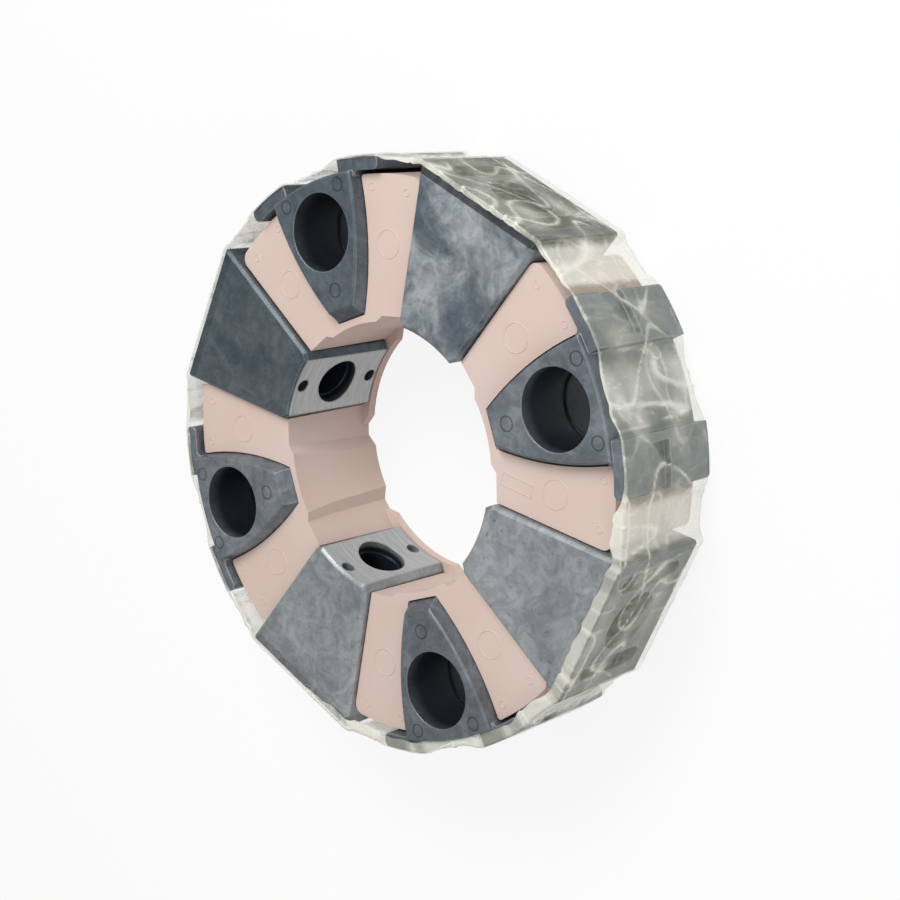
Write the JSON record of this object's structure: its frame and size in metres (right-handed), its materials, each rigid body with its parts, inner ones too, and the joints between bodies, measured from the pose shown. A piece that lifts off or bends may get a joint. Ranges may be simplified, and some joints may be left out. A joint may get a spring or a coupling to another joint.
{
  "type": "flexible coupling element",
  "caption": "Ring element set of a flexible flange coupling: moulded elastomer legs between cast wedges with axial bores and cast blocks with radial bores.",
  "frame": {"origin": "centre of the back faces, on the coupling's axis", "axes": "+Z along the coupling's axis, from the back to the front; +X through the first axial insert"},
  "size_m": [0.2544, 0.2544, 0.058],
  "materials": {
    "elastomer": "matt moulded",
    "axial_casting": "dark die-cast",
    "radial_casting": "die-cast with machined seat",
    "clear_tape": "clear wrinkled film"
  },
  "bodies": {
    "root": {"elastomer_ring": "elastomer", "axial_insert_1": "axial_casting", "radial_insert_1": "radial_casting", "axial_insert_2": "axial_casting", "radial_insert_2": "radial_casting", "axial_insert_3": "axial_casting", "radial_insert_3": "radial_casting", "axial_insert_4": "axial_casting", "radial_insert_4": "radial_casting", "tape_wrap": "clear_tape"}
  },
  "joints": []
}
